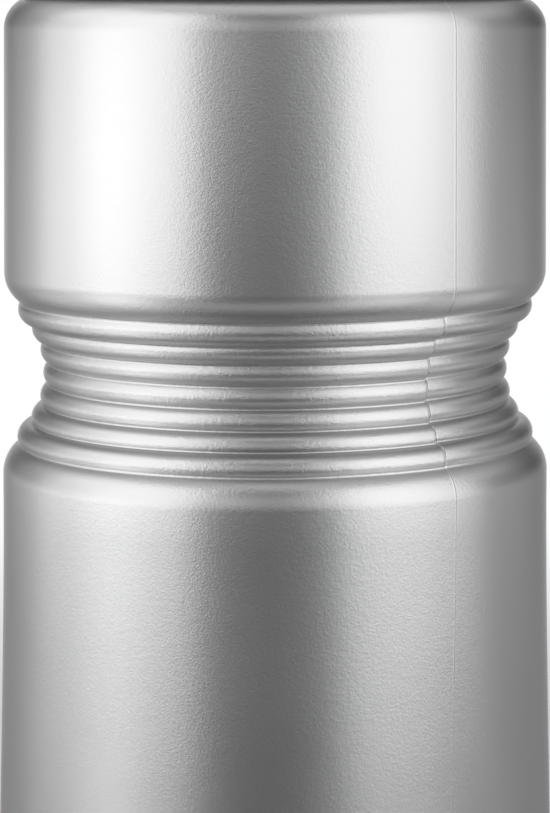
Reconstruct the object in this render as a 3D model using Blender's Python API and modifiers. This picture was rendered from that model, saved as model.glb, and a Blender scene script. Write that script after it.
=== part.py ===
"""A squeezable bicycle water bottle with a ribbed grip waist, a screw cap and a push-pull valve.

Metres, +Z up. The origin is the centre of the foot, on the plane that the bottle stands on.
Most pieces are turned: each is an outline in the XZ plane, swept about Z by a Screw modifier.
Every joint turns about Z or slides along it, so each piece keeps its origin on that axis, at the foot.
The parents follow the joints: the seal rises with the cap, the cap carries the valve's fixed pieces,
and the spout carries the mouthpiece.
"""

import math

import bmesh
import bpy
from mathutils import Matrix

# Blown body: radii and heights of the outside
BODY_R = 0.0370
SHOULDER_R = 0.03585
CHAMBER_FOOT_R = 0.0355
CHAMBER_TOP_R = 0.03525
WAIST_R = 0.0305
WAIST_Z = 0.1200
CHAMBER_H = 0.0314
FLARE_H = 0.0720
WALL = 0.0012

# Rounded edges of the body
TOP_EDGE_R = 0.0043
CHAMBER_EDGE_R = 0.00455
SHOULDER_EDGE_R = 0.0046
BASE_EDGE_R = 0.0060

# Ribs: round beads whose centres lie on one arc that curves into the waist
RIB_COUNT = 7
RIB_PITCH = 0.00308
RIB_DEPTH = 0.00082
WAIST_ARC_R = 0.0122
EDGE_BITE = 0.00155

# Foot: a flat ring to stand on, and a domed floor pushed up inside it
FOOT_LAND = 0.0038
FOOT_SLOPE = 0.0045
PUSH_UP = 0.0036
DOME_RISE = 0.0016
FLOOR_WALL = 0.0016

# Neck
NECK_R = 0.0290
NECK_WALL = 0.0020
NECK_H = 0.0130
NECK_FILLET = 0.0008
RIM_ROUND = 0.0005

# Fits: the gap between pieces that touch, and the room for the thread between neck and skirt
GAP = 0.0003
THREAD_ROOM = 0.0016

# Screw cap
SKIRT_WALL = 0.0026
SKIRT_LIFT = 0.00045
SKIRT_BAND = 0.0016
CROWN_WALL = 0.0018
CROWN_RISE = 0.0046
CROWN_ROUND = 0.0024
FLUTE_COUNT = 30
FLUTE_R = 0.0018
FLUTE_DEPTH = 0.0007

# Cap seal
SEAL_H = 0.0015
SEAL_OVERHANG = 0.0004

# Valve tower on the cap, with a groove for its ring in the bead at its top
TOWER_R = 0.0072
TOWER_BORE_R = 0.0050
BEAD_STEP = 0.0006
BEAD_H = 0.0050
RING_R = 0.00075
RING_STAND = 0.0002

# Pull spout: its lip runs up to the tower's bead, and its orifice sits on the plug
SPOUT_WALL = 0.0015
SPOUT_TRAVEL = 0.0060
LIP_H = 0.0018
ROOF_H = 0.0018
CHIMNEY_R = 0.0048
CHIMNEY_H = 0.0030
SPOUT_ROUND = 0.0004

# Valve plug
PLUG_R = 0.0024
POST_R = 0.0016
SPOKE_COUNT = 3
SPOKE_W = 0.0013
SPOKE_H = 0.0020
PLUG_RING_WALL = 0.0012
PLUG_RING_H = 0.0040
PLUG_FLANGE_H = 0.0012
PLUG_FLANGE_STEP = 0.0016

# Mouthpiece
BITE_WALL = 0.0016
BITE_BULB = 0.0010
BITE_FLANGE_R = 0.0136
BITE_FLANGE_H = 0.0026
BITE_ROUND = 0.0004
SLEEVE_SETBACK = 0.0022

# Facets: steps of a full turn, and pieces of a round stretch
BODY_STEPS = 40
VALVE_STEPS = 24
RIB_PIECES = 4
EDGE_PIECES = 6

# Angles, in degrees, up to which the inner faces of the rounded edges turn
EDGE_TURN = 52
TOP_TURN = 72

# Ribs that follow: a bead of this radius is as deep as RIB_DEPTH where it crosses the next
FULL_TURN = 2 * math.pi
RIB_R = ((RIB_PITCH / 2) ** 2 + RIB_DEPTH**2) / (2 * RIB_DEPTH)
RIB_ANGLE = 2 * math.asin(RIB_PITCH / 2 / WAIST_ARC_R)
ARC_CENTRE_R = WAIST_R - RIB_R + WAIST_ARC_R


def arc(centre_r, centre_z, radius, start, end, pieces):
    """Points of a round stretch, from the angle start to end in degrees, both ends included."""
    points = []
    for i in range(pieces + 1):
        angle = math.radians(start + (end - start) * i / pieces)
        points.append((centre_r + radius * math.cos(angle), centre_z + radius * math.sin(angle)))
    return points


def spread(low, high, pieces):
    """Values from just past low up to high, evenly spaced."""
    return [low + (high - low) * i / pieces for i in range(1, pieces + 1)]


def crossing(upper, lower):
    """The outer point where two circles, each (r, z, radius), cross."""
    d_r = lower[0] - upper[0]
    d_z = lower[1] - upper[1]
    distance = math.hypot(d_r, d_z)
    along = (upper[2] ** 2 - lower[2] ** 2 + distance**2) / (2 * distance)
    across = math.sqrt(upper[2] ** 2 - along**2)
    return (
        upper[0] + (along * d_r - across * d_z) / distance,
        upper[1] + (along * d_z + across * d_r) / distance,
    )


def angle_on(circle, point):
    """The angle, in degrees, at which a point lies on a circle (r, z, radius)."""
    return math.degrees(math.atan2(point[1] - circle[1], point[0] - circle[0]))


def arc_chain(circles, pieces):
    """One outline down the outside of a row of crossing circles, upright at both ends."""
    angles = [0]
    for upper, lower in zip(circles, circles[1:]):
        point = crossing(upper, lower)
        angles.append(angle_on(upper, point))
        angles.append(angle_on(lower, point))
    angles.append(0)
    points = []
    for i, circle in enumerate(circles):
        stretch = arc(*circle, angles[2 * i], angles[2 * i + 1], pieces)
        points += stretch if i == 0 else stretch[1:]
    return points


def rib_circles():
    """The ribs' sections from the top down. The waist leans with the taper from chamber to shoulder."""
    middle = (RIB_COUNT - 1) / 2
    reach = WAIST_ARC_R * math.sin(middle * RIB_ANGLE) + CHAMBER_EDGE_R
    lean = (SHOULDER_R - CHAMBER_FOOT_R) / (2 * reach)
    circles = []
    for i in range(RIB_COUNT):
        angle = (middle - i) * RIB_ANGLE
        height = WAIST_ARC_R * math.sin(angle)
        centre_r = ARC_CENTRE_R - WAIST_ARC_R * math.cos(angle) - lean * height
        circles.append((centre_r, WAIST_Z + height, RIB_R))
    return circles


def edge_circle(rib, outer_r, radius, side):
    """The rounded edge of a chamber that bites into the rib next to it, above (1) or below (-1)."""
    centre_r = outer_r - radius
    distance = radius + rib[2] - EDGE_BITE
    rise = math.sqrt(distance**2 - (centre_r - rib[0]) ** 2)
    return (centre_r, rib[1] + side * rise, radius)


def shrunk(circle):
    """The inner face of a rounded edge."""
    return (circle[0], circle[1], circle[2] - WALL)


# The body's heights, from the waist up, and the sections that meet there
RIBS = rib_circles()
CHAMBER_EDGE = edge_circle(RIBS[0], CHAMBER_FOOT_R, CHAMBER_EDGE_R, 1)
SHOULDER_EDGE = edge_circle(RIBS[-1], SHOULDER_R, SHOULDER_EDGE_R, -1)
TOP_EDGE = (CHAMBER_TOP_R - TOP_EDGE_R, CHAMBER_EDGE[1] + CHAMBER_H, TOP_EDGE_R)
NECK_Z = TOP_EDGE[1] + TOP_EDGE_R
RIM_Z = NECK_Z + NECK_H
MOUTH_R = NECK_R - NECK_WALL
LAND_R = BODY_R - BASE_EDGE_R
DOME_R = LAND_R - FOOT_LAND - FOOT_SLOPE

# The cap goes over the neck and presses the seal on its rim
SKIRT_BORE_R = NECK_R + THREAD_ROOM
CAP_R = SKIRT_BORE_R + SKIRT_WALL
CAP_EDGE_R = CAP_R - CROWN_ROUND
SKIRT_Z = NECK_Z + SKIRT_LIFT
SEAL_Z = RIM_Z + GAP
SEAL_BORE_R = MOUTH_R - SEAL_OVERHANG
CROWN_UNDER_Z = SEAL_Z + SEAL_H + GAP
CROWN_EDGE_Z = CROWN_UNDER_Z + CROWN_WALL
CROWN_Z = CROWN_EDGE_Z + CROWN_RISE

# The tower stands on the crown, high enough for the spout's travel
LIP_Z = CROWN_Z + 2 * GAP
LIP_TOP_Z = LIP_Z + LIP_H
BEAD_R = TOWER_R + BEAD_STEP
BEAD_Z = LIP_TOP_Z + SPOUT_TRAVEL + GAP
TOWER_Z = BEAD_Z + BEAD_H
RING_Z = BEAD_Z + BEAD_H / 2
RING_CENTRE_R = BEAD_R + RING_STAND - RING_R
GROOVE_R = RING_CENTRE_R - RING_R - GAP
GROOVE_TOP_Z = RING_Z + RING_R + GAP
GROOVE_FOOT_Z = RING_Z - RING_R - GAP

# The spout goes over the tower and its ring
SPOUT_BORE_R = BEAD_R + RING_STAND + GAP
SPOUT_R = SPOUT_BORE_R + SPOUT_WALL
ROOF_Z = TOWER_Z + 2 * GAP
ROOF_TOP_Z = ROOF_Z + ROOF_H
SPOUT_TOP_Z = ROOF_TOP_Z + CHIMNEY_H

# The insert hangs in the tower's bore, against the underside of the crown
INSERT_Z = CROWN_Z - CROWN_WALL - GAP
INSERT_R = TOWER_BORE_R - GAP
INSERT_BORE_R = INSERT_R - PLUG_RING_WALL
INSERT_FOOT_Z = INSERT_Z - PLUG_FLANGE_H


def flare_r(t):
    """The lower chamber's radius, from its shoulder (t = 0) to the straight part (t = 1)."""
    return SHOULDER_R + (BODY_R - SHOULDER_R) * (3 * t**2 - 2 * t**3)


def flare(inset, pieces):
    """The flared stretch of the lower chamber, from just under the shoulder down."""
    return [(flare_r(t) - inset, SHOULDER_EDGE[1] - FLARE_H * t) for t in spread(0, 1, pieces)]


def floor_dome(lift):
    """The pushed-up floor, from the middle out to where it slopes to the foot."""
    edge = PUSH_UP - DOME_RISE
    return [(DOME_R * t, lift + edge + DOME_RISE * (1 - t**2)) for t in (0, 1 / 3, 2 / 3, 1)]


def body_inside():
    """Up the inside, from the middle of the floor to the mouth. The waist is one smooth arc there."""
    waist_r = ARC_CENTRE_R - WAIST_R + RIB_DEPTH + WALL
    half = math.degrees(RIB_ANGLE) * (RIB_COUNT - 1) / 2
    points = floor_dome(FLOOR_WALL)
    points += [(LAND_R - FOOT_LAND, FLOOR_WALL + GAP), (LAND_R, FLOOR_WALL)]
    points += arc(LAND_R, BASE_EDGE_R, BASE_EDGE_R - WALL, -TOP_TURN, 0, EDGE_PIECES - 2)
    points += reversed(flare(WALL, 3))
    points += arc(*shrunk(SHOULDER_EDGE), 0, EDGE_TURN, EDGE_PIECES // 2)
    points += arc(ARC_CENTRE_R, WAIST_Z, waist_r, 180 + half, 180 - half, RIB_COUNT + 1)
    points += arc(*shrunk(CHAMBER_EDGE), -EDGE_TURN, 0, EDGE_PIECES // 2)
    points += arc(*shrunk(TOP_EDGE), 0, TOP_TURN, EDGE_PIECES - 2)
    points += [(MOUTH_R, NECK_Z + NECK_FILLET)]
    return points


def body_outside():
    """Over the rim and down the outside, to the middle of the foot."""
    points = [
        (MOUTH_R, RIM_Z - RIM_ROUND),
        (MOUTH_R + RIM_ROUND, RIM_Z),
        (NECK_R - RIM_ROUND, RIM_Z),
        (NECK_R, RIM_Z - RIM_ROUND),
        (NECK_R, NECK_Z + NECK_FILLET),
        (NECK_R + NECK_FILLET, NECK_Z),
    ]
    points += arc(*TOP_EDGE, 90, 0, EDGE_PIECES)
    points += arc_chain([CHAMBER_EDGE, *RIBS, SHOULDER_EDGE], RIB_PIECES)
    points += flare(0, 6)
    points += arc(LAND_R, BASE_EDGE_R, BASE_EDGE_R, 0, -90, EDGE_PIECES)
    points += [(LAND_R - FOOT_LAND, 0)]
    points += reversed(floor_dome(0))
    return points


def crown_z(radius):
    """Height of the domed crown at a radius."""
    t = (radius - SPOUT_R) / (CAP_EDGE_R - SPOUT_R)
    return CROWN_Z - CROWN_RISE * t**2


def cap_outline():
    """The cap: down the tower, over the crown, down the skirt and back up inside to the bore."""
    points = [
        (TOWER_BORE_R, TOWER_Z),
        (TOWER_R, TOWER_Z),
        (BEAD_R, TOWER_Z - BEAD_STEP),
        (BEAD_R, GROOVE_TOP_Z),
        (GROOVE_R, GROOVE_TOP_Z),
        (GROOVE_R, GROOVE_FOOT_Z),
        (BEAD_R, GROOVE_FOOT_Z),
        (BEAD_R, BEAD_Z),
        (TOWER_R, BEAD_Z),
        (TOWER_R, CROWN_Z),
        (SPOUT_R, CROWN_Z),
    ]
    points += [(r, crown_z(r)) for r in spread(SPOUT_R, CAP_EDGE_R, EDGE_PIECES - 1)]
    points += arc(CAP_EDGE_R, CROWN_EDGE_Z - CROWN_ROUND, CROWN_ROUND, 80, 0, EDGE_PIECES // 2)
    under_r = SEAL_BORE_R - GAP
    points += [
        (CAP_R, SKIRT_Z + RIM_ROUND),
        (CAP_R - RIM_ROUND, SKIRT_Z),
        (SKIRT_BORE_R, SKIRT_Z),
        (SKIRT_BORE_R, CROWN_UNDER_Z),
        (under_r, CROWN_UNDER_Z),
    ]
    radii = spread(SPOUT_R, under_r - CROWN_WALL, EDGE_PIECES // 2)
    points += [(r, crown_z(r) - CROWN_WALL) for r in reversed(radii)]
    points += [(SPOUT_R, CROWN_Z - CROWN_WALL), (TOWER_BORE_R, CROWN_Z - CROWN_WALL)]
    return points


def seal_outline():
    """A flat ring that lies on the rim of the neck."""
    outer_r = SKIRT_BORE_R - GAP
    return [
        (SEAL_BORE_R, SEAL_Z + SEAL_H),
        (outer_r, SEAL_Z + SEAL_H),
        (outer_r, SEAL_Z),
        (SEAL_BORE_R, SEAL_Z),
    ]


def spout_outline():
    """The rigid core of the valve: a chimney and roof over the tower, with a lip that its bead stops."""
    lip_r = TOWER_R + GAP
    orifice_r = PLUG_R + GAP
    return [
        (orifice_r, SPOUT_TOP_Z),
        (CHIMNEY_R - SPOUT_ROUND, SPOUT_TOP_Z),
        (CHIMNEY_R, SPOUT_TOP_Z - SPOUT_ROUND),
        (CHIMNEY_R, ROOF_TOP_Z),
        (SPOUT_BORE_R, ROOF_TOP_Z),
        (SPOUT_R, ROOF_TOP_Z - SPOUT_WALL),
        (SPOUT_R, LIP_Z + SPOUT_ROUND),
        (SPOUT_R - SPOUT_ROUND, LIP_Z),
        (lip_r, LIP_Z),
        (lip_r, LIP_TOP_Z),
        (SPOUT_BORE_R, LIP_TOP_Z),
        (SPOUT_BORE_R, ROOF_Z),
        (orifice_r, ROOF_Z),
    ]


def mouthpiece_outline():
    """The soft sleeve: its bore follows the rigid core, its outside swells where it is bitten and pulled."""
    bore_r = SPOUT_R + GAP
    waist_r = bore_r + BITE_WALL
    mouth_r = CHIMNEY_R + GAP
    top_z = SPOUT_TOP_Z + BITE_WALL
    round_r = BITE_WALL + BITE_BULB
    bulb_r = waist_r + BITE_BULB
    bulb_foot_z = ROOF_TOP_Z - BITE_WALL
    sleeve_z = LIP_TOP_Z + SLEEVE_SETBACK
    flange_z = sleeve_z + BITE_FLANGE_H
    rim_r = BITE_FLANGE_H / 2
    points = [(mouth_r, top_z - BITE_ROUND), (mouth_r + BITE_ROUND, top_z)]
    points += arc(bulb_r - round_r, top_z - round_r, round_r, 80, 0, EDGE_PIECES - 2)
    points += [
        (bulb_r, bulb_foot_z),
        (waist_r, bulb_foot_z - round_r),
        (waist_r, flange_z + BITE_ROUND),
        (waist_r + BITE_ROUND, flange_z),
    ]
    points += arc(BITE_FLANGE_R - rim_r, sleeve_z + rim_r, rim_r, 90, -90, EDGE_PIECES)
    points += [
        (bore_r, sleeve_z),
        (bore_r, ROOF_TOP_Z - SPOUT_WALL + GAP),
        (bore_r - SPOUT_WALL, ROOF_TOP_Z + GAP),
        (mouth_r, ROOF_TOP_Z + GAP),
    ]
    return points


def plug_ring_outline():
    """The ring of the insert: a tube in the tower's bore, with a flange under the crown."""
    flange_r = INSERT_R + PLUG_FLANGE_STEP
    return [
        (INSERT_BORE_R, INSERT_Z + PLUG_RING_H),
        (INSERT_R, INSERT_Z + PLUG_RING_H),
        (INSERT_R, INSERT_Z),
        (flange_r, INSERT_Z),
        (flange_r, INSERT_FOOT_Z),
        (INSERT_BORE_R, INSERT_FOOT_Z),
    ]


def plug_post_outline():
    """The post on the axis, with the wider tip that closes the orifice."""
    tip_z = ROOF_TOP_Z + GAP
    step_z = ROOF_Z - GAP
    return [
        (0, tip_z),
        (PLUG_R - SPOUT_ROUND, tip_z),
        (PLUG_R, tip_z - SPOUT_ROUND),
        (PLUG_R, step_z),
        (POST_R, step_z - (PLUG_R - POST_R)),
        (POST_R, INSERT_FOOT_Z),
        (0, INSERT_FOOT_Z),
    ]


def material(name, colour, roughness, metallic=0.0):
    """A plain Principled material."""
    made = bpy.data.materials.new(name)
    made.use_nodes = True
    shader = made.node_tree.nodes["Principled BSDF"]
    shader.inputs["Base Color"].default_value = (*colour, 1.0)
    shader.inputs["Roughness"].default_value = roughness
    shader.inputs["Metallic"].default_value = metallic
    return made


def collection(name):
    """A collection in the scene."""
    made = bpy.data.collections.new(name)
    bpy.context.scene.collection.children.link(made)
    return made


def place(name, mesh, home, parent=None, finish=None):
    """Puts a mesh in the scene as a named object."""
    thing = bpy.data.objects.new(name, mesh)
    home.objects.link(thing)
    thing.parent = parent
    if finish:
        mesh.materials.append(finish)
    return thing


def turned(name, outline, steps, home, parent=None, finish=None, closed=True):
    """A piece turned about Z. An outline that isn't closed starts and ends on the axis."""
    edges = [(i, i + 1) for i in range(len(outline) - 1)]
    if closed:
        edges.append((len(outline) - 1, 0))
    mesh = bpy.data.meshes.new(name)
    mesh.from_pydata([(r, 0, z) for r, z in outline], edges, [])
    thing = place(name, mesh, home, parent, finish)
    sweep = thing.modifiers.new("Turn", "SCREW")
    sweep.axis = "Z"
    sweep.angle = FULL_TURN
    sweep.steps = steps
    sweep.render_steps = steps
    sweep.use_merge_vertices = True
    sweep.merge_threshold = 0.00001
    sweep.use_smooth_shade = True
    return thing


def combine(thing, other, operation):
    """Cuts or joins thing with another object, which is hidden as a tool."""
    change = thing.modifiers.new(other.name, "BOOLEAN")
    change.operation = operation
    change.solver = "EXACT"
    change.object = other
    other.hide_render = True
    other.display_type = "WIRE"


def in_a_ring(bars, made, count):
    """Copies the verts just made round the axis, count in all."""
    for i in range(1, count):
        copy = bmesh.ops.duplicate(bars, geom=made)
        moved = [part for part in copy["geom"] if isinstance(part, bmesh.types.BMVert)]
        turn = Matrix.Rotation(FULL_TURN * i / count, 3, "Z")
        bmesh.ops.rotate(bars, verts=moved, cent=(0, 0, 0), matrix=turn)


def flutes(home):
    """Upright round bars, set round the skirt above its plain band, that cut its finger flutes."""
    foot_z = SKIRT_Z + SKIRT_BAND
    height = CROWN_EDGE_Z - foot_z + GAP
    centre = (CAP_R + FLUTE_R - FLUTE_DEPTH, 0, foot_z + height / 2)
    bars = bmesh.new()
    bmesh.ops.create_cone(
        bars,
        cap_ends=True,
        segments=12,
        radius1=FLUTE_R,
        radius2=FLUTE_R,
        depth=height,
        matrix=Matrix.Translation(centre),
    )
    in_a_ring(bars, bars.verts[:] + bars.edges[:] + bars.faces[:], FLUTE_COUNT)
    mesh = bpy.data.meshes.new("flutes")
    bars.to_mesh(mesh)
    bars.free()
    return place("flutes", mesh, home)


def spokes(home):
    """Flat bars from the post out into the ring of the insert."""
    start_r = POST_R / 2
    end_r = INSERT_R - PLUG_RING_WALL / 2
    size = Matrix.Diagonal((end_r - start_r, SPOKE_W, SPOKE_H, 1))
    centre = ((start_r + end_r) / 2, 0, INSERT_Z + PLUG_RING_H / 2)
    bars = bmesh.new()
    bmesh.ops.create_cube(bars, size=1, matrix=Matrix.Translation(centre) @ size)
    in_a_ring(bars, bars.verts[:] + bars.edges[:] + bars.faces[:], SPOKE_COUNT)
    mesh = bpy.data.meshes.new("spokes")
    bars.to_mesh(mesh)
    bars.free()
    return place("spokes", mesh, home)


def main():
    for thing in list(bpy.data.objects):
        bpy.data.objects.remove(thing)
    parts = collection("bicycle_water_bottle")
    tools = collection("tools")

    silver = material("silver_polyethylene", (0.55, 0.55, 0.56), 0.36, 0.35)
    black = material("black_polypropylene", (0.022, 0.022, 0.024), 0.45)
    rubber = material("seal_rubber", (0.09, 0.09, 0.095), 0.6)
    grey = material("grey_polypropylene", (0.30, 0.30, 0.31), 0.4)
    soft = material("soft_mouthpiece", (0.06, 0.06, 0.065), 0.55)

    outline = body_inside() + body_outside()
    body = turned("bottle_body", outline, BODY_STEPS, parts, None, silver, closed=False)
    seal = turned("cap_seal", seal_outline(), BODY_STEPS, parts, body, rubber)

    cap = turned("screw_cap", cap_outline(), BODY_STEPS, parts, seal, black)
    combine(cap, flutes(tools), "DIFFERENCE")

    plug = turned("valve_plug", plug_ring_outline(), VALVE_STEPS, parts, cap, grey)
    combine(plug, turned("post", plug_post_outline(), VALVE_STEPS, tools, closed=False), "UNION")
    combine(plug, spokes(tools), "UNION")

    section = arc(RING_CENTRE_R, RING_Z, RING_R, 180, -180, 8)[:-1]
    turned("tower_seal", section, VALVE_STEPS, parts, cap, rubber)

    spout = turned("pull_spout", spout_outline(), VALVE_STEPS, parts, cap, grey)
    turned("mouthpiece", mouthpiece_outline(), VALVE_STEPS, parts, spout, soft)

    print("rim of the neck", round(RIM_Z, 5), "top of the spout", round(SPOUT_TOP_Z, 5))
    print("radius of a rib's bead", round(RIB_R, 5), "radius of the cap", round(CAP_R, 5))


main()
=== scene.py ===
# %% [markdown]
# A squeezable bicycle bottle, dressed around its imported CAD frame.
# The frame gives each piece its place and its travel. This script gives each piece its fine surface:
# the beads of the grip waist, the line where the mould halves met, the threads and the plastics.
# Everything is in metres, +Z up, with the bottle's axis on Z and its foot on the floor.

# %% Load the frame
import math

import bmesh
import bpy
from mathutils import Matrix, Vector


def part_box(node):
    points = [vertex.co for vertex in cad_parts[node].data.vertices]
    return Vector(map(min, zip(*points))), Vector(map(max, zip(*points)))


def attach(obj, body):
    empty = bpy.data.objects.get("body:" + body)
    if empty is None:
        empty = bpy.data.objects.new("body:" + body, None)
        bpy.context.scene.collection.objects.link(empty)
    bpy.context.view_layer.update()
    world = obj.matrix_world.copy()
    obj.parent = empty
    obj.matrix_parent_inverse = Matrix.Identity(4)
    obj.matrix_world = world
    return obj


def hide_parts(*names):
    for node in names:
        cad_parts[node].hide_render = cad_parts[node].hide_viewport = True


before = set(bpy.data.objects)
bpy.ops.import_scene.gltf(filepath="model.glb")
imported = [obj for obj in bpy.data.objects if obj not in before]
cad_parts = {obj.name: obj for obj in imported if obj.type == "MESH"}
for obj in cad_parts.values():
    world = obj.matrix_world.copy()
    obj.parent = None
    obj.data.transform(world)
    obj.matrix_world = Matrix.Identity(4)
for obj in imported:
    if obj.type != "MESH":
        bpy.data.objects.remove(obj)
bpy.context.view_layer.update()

print("frame:", ", ".join(sorted(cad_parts)))

# %% [markdown]
# ## The camera
# The photograph is a close view of the waist, taken from a little above it through a long lens.
# A camera that looks straight out and sees far below its axis would need a large shift.
# Instead it looks down a few degrees, and the shift makes up the small rest.

# %% Camera
def put_in_scene(name, data):
    """Makes an object of a camera, a mesh or a lamp and puts it in the scene."""
    thing = bpy.data.objects.new(name, data)
    bpy.context.scene.collection.objects.link(thing)
    return thing


WAIST_Z = 0.1200
LONG_SIDE = 36.0
LENS = 135.2
EYE = Vector((0.0, -0.4000, 0.1701))
PITCH = 6.047
LOOK_SHIFT = -0.12

lens = bpy.data.cameras.new("camera")
lens.sensor_width = LONG_SIDE
lens.lens = LENS
lens.shift_y = LOOK_SHIFT
lens.clip_start = 0.01
camera = put_in_scene("camera", lens)
camera.location = EYE
camera.rotation_euler = (math.radians(90 - PITCH), 0, 0)
bpy.context.scene.camera = camera
print("eye above the waist (mm):", round((EYE.z - WAIST_Z) * 1000, 1))

# %% [markdown]
# ## Drawing an outline
# Most pieces are turned, so each starts as an outline beside the axis.
# A pen draws it: a straight run is a vertex extruded to its next place,
# and a round stretch is the same vertex spun about the centre of the arc.
# Angles grow anticlockwise in a picture with the radius to the right and Z up.

# %% The pen
def trace(start, *moves):
    """Draws an outline. A move is a point (r, z), or an arc (centre r, centre z, angle, steps)."""
    outline = bmesh.new()
    tip = outline.verts.new((start[0], 0, start[1]))
    for move in moves:
        if len(move) == 2:
            tip = bmesh.ops.extrude_vert_indiv(outline, verts=[tip])["verts"][0]
            tip.co = (move[0], 0, move[1])
        else:
            r, z, angle, steps = move
            arc = bmesh.ops.spin(
                outline,
                geom=[tip],
                cent=(r, 0, z),
                axis=(0, -1, 0),
                angle=math.radians(angle),
                steps=steps,
            )
            tip = next(part for part in arc["geom_last"] if isinstance(part, bmesh.types.BMVert))
    return outline


# %% [markdown]
# A moulded edge is never sharp. The outline's corners are bevelled before it is turned,
# because one bevelled vertex then rounds a whole edge of the piece.

# %% Close and soften an outline
WELD = 0.000001
SHARP_CORNER = math.radians(150)


def close(outline):
    """Joins the outline's two ends with an edge."""
    ends = [vert for vert in outline.verts if len(vert.link_edges) == 1]
    outline.edges.new(ends)
    return outline


def soften(outline, width, places=None, steps=3):
    """Rounds the outline's sharp corners, or the corners at the places given."""
    corners = []
    for vert in outline.verts:
        if len(vert.link_edges) != 2:
            continue
        if places is None:
            ahead, back = (edge.other_vert(vert).co - vert.co for edge in vert.link_edges)
            wanted = ahead.angle(back) < SHARP_CORNER
        else:
            wanted = any(math.dist(place, (vert.co.x, vert.co.z)) < 2 * WELD for place in places)
        if wanted:
            corners.append(vert)
    bmesh.ops.bevel(
        outline,
        geom=corners,
        offset=width,
        offset_type="OFFSET",
        segments=steps,
        profile=0.5,
        affect="VERTICES",
        clamp_overlap=True,
        material=-1,
    )
    return outline


# %% [markdown]
# The spin operator turns an outline into a shape. A shape with flutes or mould halves isn't the same
# all round, so one sector of it is spun and shaped, and then copied round the axis.

# %% Turn an outline, or repeat a sector
FULL_TURN = 2 * math.pi


def spin_round(shape, angle, steps, ring=None, **more):
    """Spins the whole shape, or one ring of it, round Z."""
    geom = ring or shape.verts[:] + shape.edges[:]
    return bmesh.ops.spin(shape, geom=geom, cent=(0, 0, 0), axis=(0, 0, 1), angle=angle, steps=steps, **more)


def lathe(outline, steps):
    """Spins the outline once round Z."""
    spin_round(outline, FULL_TURN, steps, use_merge=True)
    bmesh.ops.remove_doubles(outline, verts=outline.verts, dist=WELD)
    bmesh.ops.recalc_face_normals(outline, faces=outline.faces)
    return outline


def turn_round(shape, angle):
    """Turns the whole shape round Z."""
    bmesh.ops.rotate(shape, verts=shape.verts, cent=(0, 0, 0), matrix=Matrix.Rotation(angle, 3, "Z"))


def ring_of(sector, count):
    """Copies a sector round Z, count in all, and welds them."""
    first = sector.verts[:] + sector.edges[:] + sector.faces[:]
    for i in range(1, count):
        copy = bmesh.ops.duplicate(sector, geom=first)
        moved = [part for part in copy["geom"] if isinstance(part, bmesh.types.BMVert)]
        step = Matrix.Rotation(FULL_TURN * i / count, 3, "Z")
        bmesh.ops.rotate(sector, verts=moved, cent=(0, 0, 0), matrix=step)
    bmesh.ops.remove_doubles(sector, verts=sector.verts, dist=WELD)
    bmesh.ops.recalc_face_normals(sector, faces=sector.faces)
    return sector


# %% [markdown]
# Every finished piece rides on one body of the frame, so that it moves with the joint that carries it.
# It stands for a plain solid of the frame, which is then hidden.

# %% Join shapes and finish a piece
def join(shape, other):
    """Adds another shape to this one."""
    spare = bpy.data.meshes.new("spare")
    other.to_mesh(spare)
    other.free()
    shape.from_mesh(spare)
    bpy.data.meshes.remove(spare)
    return shape


def finished(name, shape, body, stands_for=(), sharp=40):
    """Makes the shape a piece that rides on a body of the frame."""
    mesh = bpy.data.meshes.new(name)
    shape.to_mesh(mesh)
    shape.free()
    mesh.shade_smooth()
    mesh.set_sharp_from_angle(angle=math.radians(sharp))
    piece = put_in_scene(name, mesh)
    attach(piece, body)
    if stands_for:
        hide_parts(*stands_for)
    print(name, len(mesh.polygons), "faces")
    return piece


# %% [markdown]
# ## The blown body
# The body is polyethylene, blown in a mould of two halves. Its waist is seven round beads in a row.
# Each bead is part of a circle, the circles' centres lie on one arc that curves in towards the axis,
# and two circles that cross leave a sharp valley, which a blown wall rounds very slightly.
# The same row takes in the rounded edges of the chambers above and below.
# Ribs could be pressed into a plain tube with a displacement, but then neither the beads' roundness
# nor the valleys' depth would be a size that can be set. Crossing circles have both.

# %% Sizes of the body
BODY_R = 0.0370
SHOULDER_R = 0.03585
CHAMBER_FOOT_R = 0.0355
CHAMBER_TOP_R = 0.03525
WAIST_R = 0.0305
CHAMBER_H = 0.0314
FLARE_H = 0.0720
WALL = 0.0012
TOP_EDGE_R = 0.0043
CHAMBER_EDGE_R = 0.00455
SHOULDER_EDGE_R = 0.0046
BASE_EDGE_R = 0.0060
RIB_COUNT = 7
RIB_PITCH = 0.00308
RIB_DEPTH = 0.00082
WAIST_ARC_R = 0.0122
EDGE_BITE = 0.00155
VALLEY_ROUND = 0.00030

RIB_R = ((RIB_PITCH / 2) ** 2 + RIB_DEPTH**2) / (2 * RIB_DEPTH)
RIB_ANGLE = 2 * math.asin(RIB_PITCH / 2 / WAIST_ARC_R)
ARC_CENTRE_R = WAIST_R - RIB_R + WAIST_ARC_R
print("a bead's radius (mm):", round(RIB_R * 1000, 2))


# %% [markdown]
# Where two circles cross is worked out once, for every pair from the chamber above to the one below.
# The whole waist leans out a little towards its foot, because the lower chamber is the wider one.

# %% Where the circles of the waist lie and cross
def crossing(upper, lower):
    """The outer point where two circles, each (r, z, radius), cross."""
    d_r = lower[0] - upper[0]
    d_z = lower[1] - upper[1]
    distance = math.hypot(d_r, d_z)
    along = (upper[2] ** 2 - lower[2] ** 2 + distance**2) / (2 * distance)
    across = math.sqrt(upper[2] ** 2 - along**2)
    return (
        upper[0] + (along * d_r - across * d_z) / distance,
        upper[1] + (along * d_z + across * d_r) / distance,
    )


def angle_on(circle, point):
    """The angle, in degrees, at which a point lies on a circle."""
    return math.degrees(math.atan2(point[1] - circle[1], point[0] - circle[0]))


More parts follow.
